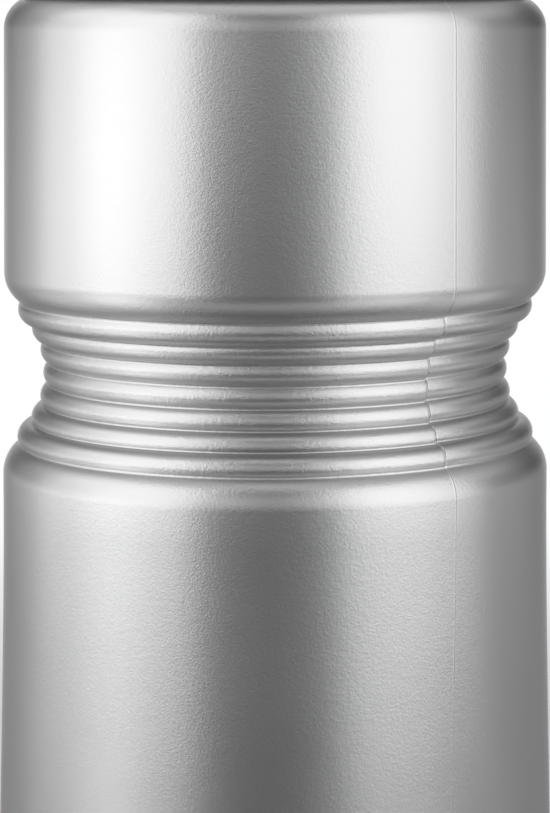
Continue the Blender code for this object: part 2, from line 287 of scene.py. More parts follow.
def rib_circles():
    """The seven beads, from the top down, on a waist that leans out a little towards its foot."""
    middle = (RIB_COUNT - 1) / 2
    reach = WAIST_ARC_R * math.sin(middle * RIB_ANGLE) + CHAMBER_EDGE_R
    lean = (SHOULDER_R - CHAMBER_FOOT_R) / (2 * reach)
    circles = []
    for i in range(RIB_COUNT):
        angle = (middle - i) * RIB_ANGLE
        height = WAIST_ARC_R * math.sin(angle)
        centre_r = ARC_CENTRE_R - WAIST_ARC_R * math.cos(angle) - lean * height
        circles.append((centre_r, WAIST_Z + height, RIB_R))
    return circles


def edge_circle(rib, outer_r, radius, side):
    """A chamber's rounded edge that bites into the bead next to it, above (1) or below (-1)."""
    centre_r = outer_r - radius
    distance = radius + rib[2] - EDGE_BITE
    rise = math.sqrt(distance**2 - (centre_r - rib[0]) ** 2)
    return (centre_r, rib[1] + side * rise, radius)


RIBS = rib_circles()
CHAMBER_EDGE = edge_circle(RIBS[0], CHAMBER_FOOT_R, CHAMBER_EDGE_R, 1)
SHOULDER_EDGE = edge_circle(RIBS[-1], SHOULDER_R, SHOULDER_EDGE_R, -1)
TOP_EDGE = (CHAMBER_TOP_R - TOP_EDGE_R, CHAMBER_EDGE[1] + CHAMBER_H, TOP_EDGE_R)
NECK_Z = TOP_EDGE[1] + TOP_EDGE_R
RIM_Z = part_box("bottle_body")[1].z
print("foot of the neck (mm):", round(NECK_Z * 1000, 2), "rim:", round(RIM_Z * 1000, 2))

# %% [markdown]
# The outside and the inside are drawn apart, because only the outside shows the beads and the mould.
# Both end on the rim, where they are welded, and on the axis.

# %% Outline of the body's outside
NECK_R = 0.0290
NECK_WALL = 0.0020
NECK_FILLET = 0.0008
RIM_ROUND = 0.0005
FOOT_LAND = 0.0038
FOOT_SLOPE = 0.0045
FOOT_ROUND = 0.0007
PUSH_UP = 0.0036
DOME_RISE = 0.0016
DOME_STATIONS = ((0.66, 0.56), (0.33, 0.89))
FLOOR_WALL = 0.0016
BEAD_STEPS = 9
EDGE_STEPS = 12
TOP_EDGE_STEPS = 16
FLARE_STEPS = 16

LAND_R = BODY_R - BASE_EDGE_R
MOUTH_R = NECK_R - NECK_WALL
DOME_R = LAND_R - FOOT_LAND - FOOT_SLOPE
DOME_EDGE_Z = PUSH_UP - DOME_RISE


def chain_moves(circles):
    """Arcs down the outside of a row of crossing circles, upright at both ends."""
    moves = []
    start = 0.0
    for upper, lower in zip(circles, circles[1:]):
        point = crossing(upper, lower)
        end = angle_on(upper, point)
        moves.append((upper[0], upper[1], end - start, BEAD_STEPS))
        start = angle_on(lower, point)
    moves.append((circles[-1][0], circles[-1][1], -start, BEAD_STEPS))
    return moves


def flare_moves(inset, steps):
    """The lower chamber's side, which widens smoothly from its shoulder down to its full radius."""
    moves = []
    for i in range(1, steps + 1):
        t = i / steps
        radius = SHOULDER_R + (BODY_R - SHOULDER_R) * (3 * t**2 - 2 * t**3)
        moves.append((radius - inset, SHOULDER_EDGE[1] - FLARE_H * t))
    return moves


def outside_outline():
    """From the middle of the rim down the outside to the middle of the foot."""
    outline = trace(
        ((MOUTH_R + NECK_R) / 2, RIM_Z),
        (NECK_R - RIM_ROUND, RIM_Z),
        (NECK_R - RIM_ROUND, RIM_Z - RIM_ROUND, -90, 5),
        (NECK_R, NECK_Z + NECK_FILLET),
        (NECK_R + NECK_FILLET, NECK_Z + NECK_FILLET, 90, 6),
        (TOP_EDGE[0], NECK_Z),
        (*TOP_EDGE[:2], -90, TOP_EDGE_STEPS),
        (CHAMBER_FOOT_R, CHAMBER_EDGE[1]),
        *chain_moves([CHAMBER_EDGE, *RIBS, SHOULDER_EDGE]),
        *flare_moves(0, FLARE_STEPS),
        (BODY_R, BASE_EDGE_R),
        (LAND_R, BASE_EDGE_R, -90, EDGE_STEPS),
        (LAND_R - FOOT_LAND, 0),
        (DOME_R, DOME_EDGE_Z),
        *[(DOME_R * out, DOME_EDGE_Z + DOME_RISE * up) for out, up in DOME_STATIONS],
        (0, PUSH_UP),
    )
    chain = [CHAMBER_EDGE, *RIBS, SHOULDER_EDGE]
    valleys = [crossing(upper, lower) for upper, lower in zip(chain, chain[1:])]
    soften(outline, VALLEY_ROUND, valleys, steps=6)
    return soften(outline, FOOT_ROUND, [(LAND_R - FOOT_LAND, 0), (DOME_R, DOME_EDGE_Z)])


# %% [markdown]
# Air blows the plastic against the mould, so the inside follows the outside only roughly:
# it has the same chambers one wall further in, and one smooth arc where the outside has beads.

# %% Outline of the body's inside
EDGE_TURN = 52
END_TURN = 72
LINING_STEPS = 8


def point_on(circle, angle, inset):
    """A point on a circle that is inset."""
    turn = math.radians(angle)
    radius = circle[2] - inset
    return (circle[0] + radius * math.cos(turn), circle[1] + radius * math.sin(turn))


def inside_outline():
    """From the middle of the rim down the inside, with plain slopes between the round stretches."""
    half = math.degrees(RIB_ANGLE) * (RIB_COUNT - 1) / 2
    waist_r = ARC_CENTRE_R - WAIST_R + RIB_DEPTH + WALL
    waist = (ARC_CENTRE_R, WAIST_Z)
    waist_top = (
        waist[0] - waist_r * math.cos(math.radians(half)),
        WAIST_Z + waist_r * math.sin(math.radians(half)),
    )
    return trace(
        ((MOUTH_R + NECK_R) / 2, RIM_Z),
        (MOUTH_R + RIM_ROUND, RIM_Z),
        (MOUTH_R + RIM_ROUND, RIM_Z - RIM_ROUND, 90, 5),
        (MOUTH_R, NECK_Z + NECK_FILLET),
        point_on(TOP_EDGE, END_TURN, WALL),
        (*TOP_EDGE[:2], -END_TURN, LINING_STEPS),
        (CHAMBER_FOOT_R - WALL, CHAMBER_EDGE[1]),
        (*CHAMBER_EDGE[:2], -EDGE_TURN, LINING_STEPS),
        waist_top,
        (*waist, 2 * half, 3 * LINING_STEPS),
        point_on(SHOULDER_EDGE, EDGE_TURN, WALL),
        (*SHOULDER_EDGE[:2], -EDGE_TURN, LINING_STEPS),
        *flare_moves(WALL, LINING_STEPS),
        (BODY_R - WALL, BASE_EDGE_R),
        (LAND_R, BASE_EDGE_R, -END_TURN, LINING_STEPS),
        (LAND_R, FLOOR_WALL),
        (LAND_R - FOOT_LAND, FLOOR_WALL),
        (DOME_R, DOME_EDGE_Z + FLOOR_WALL),
        (0, PUSH_UP + FLOOR_WALL),
    )


# %% [markdown]
# ## The mould's parting line
# Where the two halves met, a fine ridge runs down both sides of the body and fades out at its foot.
# At the beads the halves don't quite agree: the line turns into a nick, and one half sits a hair higher.
# The row of beads also lies a little askew to the axis, and the line leans below it.
# A bump in the material would be lost where the line crosses an edge, so the vertices move instead.
# The outline is spun in four stretches, two wide ones and two very narrow ones with fine steps,
# so that there are enough vertices at the line to raise and sink it.

# %% Sizes of the parting line
PARTING_AZIMUTH = 38.5
PARTING_LEAN = math.radians(-2.2)
LEAN_REACH = 0.0700
STRIP_W = 0.0013
STRIP_STEPS = 26
HALF_STEPS = 112
RIDGE_H = 0.000022
RIDGE_W = 0.00009
RIDGE_GROOVE = 0.000007
GROOVE_PLACE = 2 * RIDGE_W
LOWER_RIDGE = 0.65
RIDGE_SWELL = 1.5
RIDGE_END_Z = 0.0020
NICK_DEPTH = 0.00010
NICK_W = 0.00012
STEP_W = 3 * NICK_W
MISMATCH = 0.00019
DROP_SHARE = 0.75
ASKEW = math.radians(0.39)
ASKEW_FROM = 0.0750
ASKEW_BLEND = 0.0280
STRIP_ANGLE = STRIP_W / BODY_R
RIB_ZONE = (RIBS[-1][1] - RIB_R, RIBS[0][1] + RIB_R)
print("the beads lie from", *[round(z * 1000, 1) for z in RIB_ZONE], "mm")


# %% Spin the body over its two mould halves
def mould_spin(outline):
    """Spins an outline half round Z, over a parting line and one mould half, and copies it opposite."""
    turn_round(outline, -STRIP_ANGLE / 2)
    strip = spin_round(outline, STRIP_ANGLE, STRIP_STEPS)
    spin_round(outline, math.pi - STRIP_ANGLE, HALF_STEPS, ring=strip["geom_last"])
    return ring_of(outline, 2)


def smooth(t):
    """A step from 0 to 1 that eases in and out."""
    t = min(1.0, max(0.0, t))
    return t * t * (3 - 2 * t)


# %% Raise the parting line
def height_of_line(off_line, z, beads):
    """How far the skin rises at a distance from the line: a ridge on the chambers, a nick at the beads."""
    ridge = RIDGE_H * math.exp(-((off_line / RIDGE_W) ** 2))
    ridge -= RIDGE_GROOVE * math.exp(-(((off_line - GROOVE_PLACE) / RIDGE_W) ** 2))
    ridge *= (1 - beads) * (1 if z > WAIST_Z else LOWER_RIDGE)
    near_beads = smooth((z - SHOULDER_EDGE[1]) / RIB_R) * smooth((CHAMBER_EDGE[1] - z) / RIB_R)
    ridge *= 1 + RIDGE_SWELL * near_beads
    nick = NICK_DEPTH * math.exp(-((off_line / NICK_W) ** 2)) * beads
    return (ridge - nick) * smooth(z / RIDGE_END_Z)


def part_halves(shell):
    """Raises the line, sets the two halves of the beads apart in height and leans the line below them."""
    shell.normal_update()
    low, high = RIB_ZONE
    moves = []
    for vert in shell.verts:
        radius = math.hypot(vert.co.x, vert.co.y)
        off_line = vert.co.y if abs(vert.co.x) > radius / 2 else radius
        beads = smooth((vert.co.z - low) / RIB_R) * smooth((high - vert.co.z) / RIB_R)
        lower_half = smooth(0.5 - vert.co.y / STEP_W)
        drop = MISMATCH * beads * (lower_half - 1 + DROP_SHARE)
        push = height_of_line(off_line, vert.co.z, beads)
        moves.append((vert, vert.normal * push - Vector((0, 0, drop))))
    for vert, move in moves:
        vert.co += move
        lean = PARTING_LEAN * smooth((low - vert.co.z) / LEAN_REACH)
        vert.co.rotate(Matrix.Rotation(lean, 3, "Z"))
    return shell


def set_askew(shape):
    """Tips the row of beads to the right by a small angle, which fades out in both chambers."""
    for vert in shape.verts:
        up = smooth((vert.co.z - ASKEW_FROM) / ASKEW_BLEND)
        down = smooth((NECK_Z - vert.co.z) / ASKEW_BLEND)
        vert.co.z += ASKEW * vert.co.x * up * down


# %% [markdown]
# The outside and the inside are welded at the rim into one closed wall. A spun shape may come out
# inside out, and recalculating the normals of the closed wall would turn its lining round. So the widest
# face of each is tested before they are joined, and a shape that faces the wrong way is reversed.


# %% The body
def body_shape():
    """The outside and the inside, welded at the rim, with one parting line turned to the front."""
    shape = part_halves(mould_spin(outside_outline()))
    lining = mould_spin(inside_outline())
    for half, want_out in ((shape, True), (lining, False)):
        probe = max(half.faces, key=lambda face: face.calc_center_median().xy.length)
        points_out = probe.normal.xy.dot(probe.calc_center_median().xy) > 0
        if points_out != want_out:
            bmesh.ops.reverse_faces(half, faces=half.faces)
    join(shape, lining)
    bmesh.ops.remove_doubles(shape, verts=shape.verts, dist=WELD)
    turn_round(shape, math.radians(PARTING_AZIMUTH - 90))
    set_askew(shape)
    return shape


bottle = finished("bottle_shell", body_shape(), "bottle", ["bottle_body"])

# %% [markdown]
# ## Threads
# The cap screws on with a single right-handed thread: it rises 5 mm as it turns once anticlockwise.
# The neck's ridge and the cap's ridge are the same helix, half a lead apart, so they never touch.
# A screw modifier could make them, but the spin operator with a step up at every step round
# gives the same helix at once. Each ridge is a small section, and it fades out at both ends.

# %% A thread ridge
THREAD_LEAD = 0.0050
THREAD_STEPS = 120
THREAD_FOOT = 0.0021
THREAD_CREST = 0.0009
THREAD_SINK = 0.0001
THREAD_FADE = 0.08
THREAD_END = 0.05
NECK_TURNS = 1.3
CAP_TURNS = 0.85
THREAD_START = 0.6
NECK_CREST_R = 0.03015
CAP_CREST_R = 0.02945
SKIRT_BORE_R = 0.0306
THREAD_Z = NECK_Z + 0.0034


def thread_ridge(root_r, crest_r, start_z, start_turn, turns):
    """A ridge that climbs from start_z, at a start measured in turns from +X."""
    ridge = bmesh.new()
    foot = THREAD_FOOT / 2
    crest = THREAD_CREST / 2
    section = [(root_r, -foot), (crest_r, -crest), (crest_r, crest), (root_r, foot)]
    verts = [ridge.verts.new((r, 0, z)) for r, z in section]
    for i in range(len(verts)):
        ridge.edges.new((verts[i - 1], verts[i]))
    turn_round(ridge, start_turn * FULL_TURN)
    steps = round(turns * THREAD_STEPS)
    step_up = (0, 0, THREAD_LEAD / THREAD_STEPS)
    spin_round(ridge, FULL_TURN * steps / THREAD_STEPS, steps, dvec=step_up)
    bmesh.ops.holes_fill(ridge, edges=ridge.edges, sides=len(section))
    ridge.verts.ensure_lookup_table()
    for i, vert in enumerate(ridge.verts):
        place = i // len(section)
        from_end = min(place, steps - place) / THREAD_STEPS
        height = max(THREAD_END, smooth(from_end / THREAD_FADE))
        radius = vert.co.xy.length
        faded = root_r + (radius - root_r) * height
        vert.co.xy *= faded / radius
        vert.co.z += start_z
    bmesh.ops.recalc_face_normals(ridge, faces=ridge.faces)
    return ridge


# %% The neck's thread and the cap's
neck_ridge = thread_ridge(NECK_R - THREAD_SINK, NECK_CREST_R, THREAD_Z, THREAD_START, NECK_TURNS)
neck_thread = finished("neck_thread", neck_ridge, "bottle")
cap_root_r = SKIRT_BORE_R + THREAD_SINK
cap_ridge = thread_ridge(cap_root_r, CAP_CREST_R, THREAD_Z + THREAD_LEAD / 2, THREAD_START, CAP_TURNS)
cap_thread = finished("cap_thread", cap_ridge, "cap")

# %% [markdown]
# ## The screw cap
# The cap is one moulding: a fluted skirt over a plain band, a low crown with a ring groove,
# and the valve's tower, which has a bead at its top with a groove for a sealing ring.
# The flutes give the hand a hold. They could be cut with a boolean, but the skirt's vertices are simply
# moved in to where a round bar would touch them, on one sector that is then repeated thirty times.

# %% Sizes of the cap and its valve
FIT = 0.0003
CAP_R = 0.0332
CROWN_ROUND = 0.0024
SKIRT_Z = NECK_Z + 0.00045
SKIRT_ROUND = 0.0004
CROWN_WALL = 0.0018
SEAL_BORE_R = 0.0266
SEAL_Z = RIM_Z + FIT
SEAL_H = 0.0015
SEAL_TOP_Z = SEAL_Z + SEAL_H
CROWN_UNDER_Z = SEAL_TOP_Z + FIT
CROWN_EDGE_Z = CROWN_UNDER_Z + CROWN_WALL
CROWN_RISE = 0.0046
CROWN_Z = CROWN_EDGE_Z + CROWN_RISE
TOWER_R = 0.0072
TOWER_BORE_R = 0.0050
BEAD_R = 0.0078
TOWER_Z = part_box("screw_cap")[1].z
TOWER_CHAMFER = 0.0006
BEAD_H = 0.0050
BEAD_Z = TOWER_Z - BEAD_H
RING_Z = TOWER_Z - BEAD_H / 2
RING_R = 0.00075
RING_CENTRE_R = 0.00725
GROOVE_HALF = RING_R + FIT
SPOUT_R = 0.0098
CROWN_TURN = 66.4
FLUTE_R = 0.0018
FLUTE_Z = SKIRT_Z + 0.0016
FLUTE_ROWS = 16
FLUTE_ROWS_TOP = 1.2
FLUTE_ROW_GAP = 0.1
CROWN_STEPS = 44
UNDER_STEPS = 8
CROWN_GROOVE_R = 0.0236
CROWN_GROOVE = 0.0004
print("tower (mm):", round(TOWER_Z * 1000, 2), "crown:", round(CROWN_Z * 1000, 2))


# %% Outline of the cap
def crown_moves(start_r, end_r, end_z, lift, steps):
    """Down the crown's shallow dome, from beside the tower to its rounded edge."""
    moves = []
    for i in range(1, steps + 1):
        radius = start_r + (end_r - start_r) * i / steps
        t = (radius - SPOUT_R) / (end_r - SPOUT_R)
        height = CROWN_Z - (CROWN_Z - end_z) * t**2
        sunk = CROWN_GROOVE * math.exp(-(((radius - CROWN_GROOVE_R) / CROWN_GROOVE) ** 2))
        moves.append((radius, height + lift - sunk))
    return moves


def cap_outline():
    """Down the tower, over the crown, down the skirt and back up inside."""
    edge_r = CAP_R - CROWN_ROUND
    edge_z = CROWN_EDGE_Z - CROWN_ROUND
    turn = math.radians(CROWN_TURN)
    crown_end = (edge_r + CROWN_ROUND * math.cos(turn), edge_z + CROWN_ROUND * math.sin(turn))
    under = crown_moves(SPOUT_R, SEAL_BORE_R - 2 * CROWN_WALL, CROWN_UNDER_Z, -CROWN_WALL, UNDER_STEPS)
    skirt = [(CAP_R, FLUTE_Z + FLUTE_R * (FLUTE_ROWS_TOP - FLUTE_ROW_GAP * i)) for i in range(FLUTE_ROWS)]
    outline = trace(
        (TOWER_BORE_R, TOWER_Z),
        (TOWER_R, TOWER_Z),
        (BEAD_R, TOWER_Z - TOWER_CHAMFER),
        (BEAD_R, RING_Z + GROOVE_HALF),
        (RING_CENTRE_R - GROOVE_HALF, RING_Z + GROOVE_HALF),
        (RING_CENTRE_R - GROOVE_HALF, RING_Z - GROOVE_HALF),
        (BEAD_R, RING_Z - GROOVE_HALF),
        (BEAD_R, BEAD_Z),
        (TOWER_R, BEAD_Z),
        (TOWER_R, CROWN_Z),
        (SPOUT_R, CROWN_Z),
        *crown_moves(SPOUT_R, *crown_end, 0, CROWN_STEPS),
        (edge_r, edge_z, -CROWN_TURN, 8),
        *skirt,
        (CAP_R, SKIRT_Z),
        (SKIRT_BORE_R, SKIRT_Z),
        (SKIRT_BORE_R, CROWN_UNDER_Z),
        (SEAL_BORE_R - FIT, CROWN_UNDER_Z),
        *under[::-1],
        (SPOUT_R, CROWN_Z - CROWN_WALL),
        (TOWER_BORE_R, CROWN_Z - CROWN_WALL),
    )
    return soften(close(outline), SKIRT_ROUND / 2)


# %% Flutes of the cap
FLUTE_COUNT = 30
FLUTE_DEPTH = 0.0007
FLUTE_BLEND = 0.00025
FLUTE_STEPS = 18


def cut_flutes(shape):
    """Sinks the finger flutes into the skirt. Each is a round bar with a round end at its foot."""
    pitch = FULL_TURN / FLUTE_COUNT
    axis_r = CAP_R + FLUTE_R - FLUTE_DEPTH
    run = math.sqrt(FLUTE_R**2 - (FLUTE_R - FLUTE_DEPTH) ** 2)
    for vert in shape.verts:
        radius = vert.co.xy.length
        if radius < CAP_R - CROWN_ROUND or vert.co.z < FLUTE_Z:
            continue
        turn = math.atan2(vert.co.y, vert.co.x)
        across = CAP_R * (turn - pitch * round(turn / pitch))
        below = min(0.0, vert.co.z - FLUTE_Z - run)
        room = FLUTE_R**2 - across**2 - below**2
        bar_r = axis_r - math.sqrt(max(0.0, room))
        blend = min(1.0, max(0.0, 0.5 + (bar_r - radius) / (2 * FLUTE_BLEND)))
        sunk = bar_r + (radius - bar_r) * blend - FLUTE_BLEND * blend * (1 - blend)
        vert.co.xy *= min(radius, sunk) / radius
    return shape


def cap_shape():
    """One sector with one flute, repeated."""
    sector = cap_outline()
    pitch = FULL_TURN / FLUTE_COUNT
    turn_round(sector, -pitch / 2)
    spin_round(sector, pitch, FLUTE_STEPS)
    return ring_of(cut_flutes(sector), FLUTE_COUNT)


closure = finished("closure", cap_shape(), "cap", ["screw_cap"], sharp=32)

# %% [markdown]
# ## Seals
# A flat ring seals the cap on the rim, and a round ring seals the spout on the tower.
# Each is a plain ring, so it is turned like the rest. A torus primitive would do for the round one,
# but the pen puts it exactly into its groove.

# %% Seals
EASE = 0.0003
RIM_STEPS = 120
VALVE_STEPS = 96

seal_edge_r = SKIRT_BORE_R - FIT
flat_ring = trace(
    (SEAL_BORE_R, SEAL_TOP_Z),
    (seal_edge_r, SEAL_TOP_Z),
    (seal_edge_r, SEAL_Z),
    (SEAL_BORE_R, SEAL_Z),
)
flat_ring = soften(close(flat_ring), EASE)
rim_seal = finished("rim_seal", lathe(flat_ring, RIM_STEPS), "seal", ["cap_seal"])
round_ring = trace((RING_CENTRE_R + RING_R, RING_Z), (RING_CENTRE_R, RING_Z, 360, 16))
spout_seal = finished("spout_seal", lathe(round_ring, VALVE_STEPS), "cap", ["tower_seal"])

# %% [markdown]
# ## The valve
# The insert's post plugs the spout: pulled up by 6 mm, the spout opens a gap round the post's tip.
# Drink passes between the three spokes that hold the post in its ring.
# The ring and the post are turned and the spokes are cubes, and all three are joined into one piece.

# %% Valve insert: ring, three spokes and post
INSERT_EASE = 0.0002
INSERT_WALL = 0.0012
INSERT_H = 0.0040
INSERT_Z = CROWN_Z - CROWN_WALL - FIT
INSERT_R = TOWER_BORE_R - FIT
INSERT_BORE_R = INSERT_R - INSERT_WALL
INSERT_TOP_Z = INSERT_Z + INSERT_H
INSERT_FOOT_Z = INSERT_Z - INSERT_WALL
FLANGE_W = 0.0016
FLANGE_R = INSERT_R + FLANGE_W
POST_R = 0.0016
POST_STEPS = 64
PLUG_R = 0.0024
PLUG_H = 0.0024
PLUG_TOP_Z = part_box("valve_plug")[1].z
PLUG_FOOT_Z = PLUG_TOP_Z - PLUG_H
SPOKE_W = 0.0013
SPOKE_H = 0.0020
SPOKE_COUNT = 3


def spokes():
    """Flat bars with eased edges, from inside the post to inside the ring."""
    bars = bmesh.new()
    inner_r = POST_R / 2
    outer_r = INSERT_R - INSERT_WALL / 2
    middle = ((inner_r + outer_r) / 2, 0, (INSERT_Z + INSERT_TOP_Z) / 2)
    size = Matrix.Diagonal((outer_r - inner_r, SPOKE_W, SPOKE_H, 1))
    for i in range(SPOKE_COUNT):
        turn = Matrix.Rotation(FULL_TURN * i / SPOKE_COUNT, 4, "Z")
        bmesh.ops.create_cube(bars, size=1, matrix=turn @ Matrix.Translation(middle) @ size)
    ease = {"offset": INSERT_EASE, "segments": 2, "profile": 0.5}
    bmesh.ops.bevel(bars, geom=bars.edges[:], affect="EDGES", material=-1, **ease)
    return bars


insert_ring = trace(
    (INSERT_BORE_R, INSERT_TOP_Z),
    (INSERT_R, INSERT_TOP_Z),
    (INSERT_R, INSERT_Z),
    (FLANGE_R, INSERT_Z),
    (FLANGE_R, INSERT_FOOT_Z),
    (INSERT_BORE_R, INSERT_FOOT_Z),
)
insert_ring = soften(close(insert_ring), INSERT_EASE)
post = trace(
    (0, PLUG_TOP_Z),
    (PLUG_R, PLUG_TOP_Z),
    (PLUG_R, PLUG_FOOT_Z),
    (POST_R, PLUG_FOOT_Z - PLUG_R + POST_R),
    (POST_R, INSERT_FOOT_Z),
    (0, INSERT_FOOT_Z),
)
post = soften(post, EASE)
insert_shape = join(join(lathe(insert_ring, VALVE_STEPS), lathe(post, POST_STEPS)), spokes())
insert = finished("valve_insert", insert_shape, "cap", ["valve_plug"])

# %% [markdown]
# The spout's core is a cup turned upside down over the tower. Its lip runs on the tower's wall,
# stops under the bead when the spout is pulled up, and leaves the ring in the bead to seal the bore.
# Its narrow chimney holds the orifice and keeps the soft sleeve on.

# %% Spout core
LIP_GAP = 0.0006
LIP_H = 0.0018
LIP_Z = CROWN_Z + LIP_GAP
LIP_TOP_Z = LIP_Z + LIP_H
LIP_R = TOWER_R + FIT
SPOUT_WALL = 0.0015
SPOUT_BORE_R = SPOUT_R - SPOUT_WALL
ROOF_GAP = 0.0006
ROOF_WALL = 0.0018
ROOF_Z = TOWER_Z + ROOF_GAP
ROOF_TOP_Z = ROOF_Z + ROOF_WALL
SPOUT_TOP_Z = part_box("pull_spout")[1].z
CHIMNEY_R = 0.0048
ORIFICE_R = PLUG_R + FIT

core = trace(
    (ORIFICE_R, SPOUT_TOP_Z),
    (CHIMNEY_R, SPOUT_TOP_Z),
    (CHIMNEY_R, ROOF_TOP_Z),
    (SPOUT_BORE_R, ROOF_TOP_Z),
    (SPOUT_R, ROOF_TOP_Z - SPOUT_WALL),
    (SPOUT_R, LIP_Z),
    (LIP_R, LIP_Z),
    (LIP_R, LIP_TOP_Z),
    (SPOUT_BORE_R, LIP_TOP_Z),
    (SPOUT_BORE_R, ROOF_Z),
    (ORIFICE_R, ROOF_Z),
)
core = soften(close(core), EASE)
spout = finished("spout_core", lathe(core, VALVE_STEPS), "spout", ["pull_spout"])

# %% [markdown]
# The soft sleeve swells at its top, where it is bitten, and has three grip grooves and a flange below,
# where fingers or teeth pull it up. All its turns are arcs, so the pen draws it in one go.
# A subdivided cylinder would be rounder to the eye but would miss the exact bore over the core.

# %% Sizes of the bite sleeve
SLEEVE_Z, SLEEVE_TOP_Z = (corner.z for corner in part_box("mouthpiece"))
SLEEVE_BORE_R = SPOUT_R + FIT
SLEEVE_WALL = 0.0016
SLEEVE_R = SLEEVE_BORE_R + SLEEVE_WALL
BULB_SWELL = 0.0010
BULB_R = SLEEVE_R + BULB_SWELL
BULB_ROUND = 0.0026
BULB_TURN = 36.1
BULB_Z = ROOF_TOP_Z - 0.0016
MOUTH_BORE_R = CHIMNEY_R + FIT
MOUTH_ROUND = 0.0004
SLEEVE_FLANGE_R = 0.0136
SLEEVE_FLANGE_H = 0.0026
FLANGE_TOP_Z = SLEEVE_Z + SLEEVE_FLANGE_H
FLANGE_HALF = SLEEVE_FLANGE_H / 2
FLANGE_FILLET = 0.0005
GRIP_COUNT = 3
GRIP_R = 0.00032
GRIP_TOP_Z = BULB_Z - 0.0041
GRIP_PITCH = 0.0012

# %% Bite sleeve
bulb_drop = 2 * BULB_ROUND * math.sin(math.radians(BULB_TURN))
grips = []
for i in range(GRIP_COUNT):
    grip_z = GRIP_TOP_Z - i * GRIP_PITCH
    grips += [(SLEEVE_R, grip_z + GRIP_R), (SLEEVE_R, grip_z, 180, 6)]

sleeve_outline = trace(
    (MOUTH_BORE_R, SLEEVE_TOP_Z - MOUTH_ROUND),
    (MOUTH_BORE_R + MOUTH_ROUND, SLEEVE_TOP_Z - MOUTH_ROUND, -90, 4),
    (BULB_R - BULB_ROUND, SLEEVE_TOP_Z),
    (BULB_R - BULB_ROUND, SLEEVE_TOP_Z - BULB_ROUND, -90, 10),
    (BULB_R, BULB_Z),
    (BULB_R - BULB_ROUND, BULB_Z, -BULB_TURN, 6),
    (SLEEVE_R + BULB_ROUND, BULB_Z - bulb_drop, BULB_TURN, 6),
    *grips,
    (SLEEVE_R, FLANGE_TOP_Z + FLANGE_FILLET),
    (SLEEVE_R + FLANGE_FILLET, FLANGE_TOP_Z + FLANGE_FILLET, 90, 4),
    (SLEEVE_FLANGE_R - FLANGE_HALF, FLANGE_TOP_Z),
    (SLEEVE_FLANGE_R - FLANGE_HALF, SLEEVE_Z + FLANGE_HALF, -180, 12),
    (SLEEVE_BORE_R, SLEEVE_Z),
    (SLEEVE_BORE_R, ROOF_TOP_Z + FIT - SPOUT_WALL),
    (SLEEVE_BORE_R - SPOUT_WALL, ROOF_TOP_Z + FIT),
    (MOUTH_BORE_R, ROOF_TOP_Z + FIT),
)
sleeve_shape = lathe(close(sleeve_outline), VALVE_STEPS)
sleeve = finished("bite_sleeve", sleeve_shape, "spout", ["mouthpiece"])

# %% [markdown]
# ## Plastics
# Every plastic here is moulded. What they share is made as node groups: the grain of the mould,
# the uneven gloss that handling leaves, and a painted shade between the beads.
# Small helpers add a group or a node and link it at once, so that a cell reads like a formula.

# %% Helpers for node groups
def node_group(name, inputs, outputs):
    """An empty shader group with named value sockets."""
    group = bpy.data.node_groups.new(name, "ShaderNodeTree")
    for socket, value in inputs:
        made = group.interface.new_socket(name=socket, in_out="INPUT", socket_type="NodeSocketFloat")
        made.default_value = value
    for socket in outputs:
        group.interface.new_socket(name=socket, in_out="OUTPUT", socket_type="NodeSocketFloat")
    return group, group.nodes.new("NodeGroupInput"), group.nodes.new("NodeGroupOutput")


def maths(tree, operation, a, b=None, c=None):
    """A Math node. Each of its values is a number or the output of another node."""
    node = tree.nodes.new("ShaderNodeMath")
    node.operation = operation
    for socket, value in zip(node.inputs, (a, b, c)):
        if value is None:
            continue
        if isinstance(value, (int, float)):
            socket.default_value = value
        else:
            tree.links.new(value, socket)
    return node.outputs["Value"]


def noise(tree, scale, detail=2.0):
    """Noise over the object's own coordinates, at a scale that is the output of another node."""
    place = tree.nodes.new("ShaderNodeTexCoord")
    texture = tree.nodes.new("ShaderNodeTexNoise")
    texture.inputs["Detail"].default_value = detail
    tree.links.new(place.outputs["Object"], texture.inputs["Vector"])
    tree.links.new(scale, texture.inputs["Scale"])
    return texture.outputs["Fac"]


def rise(tree, value, start, end, level=1.0):
    """A smooth climb of a value from 0 at start to a level at end."""
    climb = tree.nodes.new("ShaderNodeMapRange")
    climb.interpolation_type = "SMOOTHSTEP"
    climb.inputs["From Min"].default_value = start
    climb.inputs["From Max"].default_value = end
    climb.inputs["To Max"].default_value = level
    tree.links.new(value, climb.inputs["Value"])
    return climb.outputs["Result"]


# %% Helpers for places on the bottle and round it
def place_of(tree):
    """The place or direction that is shaded: x, y and z, and its direction round the axis."""
    coordinates = tree.nodes.new("ShaderNodeTexCoord")
    split = tree.nodes.new("ShaderNodeSeparateXYZ")
    tree.links.new(coordinates.outputs["Object"], split.inputs["Vector"])
    x, y, z = split.outputs
    turn = maths(tree, "ARCTAN2", x, maths(tree, "MULTIPLY", y, -1.0))
    return x, y, z, maths(tree, "MULTIPLY", turn, math.degrees(1))


def at_the_ribs(tree):
    """1 at the height of the ribs, and 0 above and below them."""
    z = place_of(tree)[2]
    low, high = RIB_ZONE
    return maths(tree, "MULTIPLY", rise(tree, z, low - RIB_R, low), rise(tree, z, high + RIB_R, high))


# %% [markdown]
# A mould is blasted so that its parts don't shine, and the plastic copies that grain.
# It could be an image, but noise in metres keeps its size on every piece and needs no unwrapping.
# At the height of the ribs the grain can be set deeper, because the body's skin is coarser there.

# %% Node group: the grain that the mould leaves
COARSE_SCALE = 0.37
COARSE_SHARE = 0.6

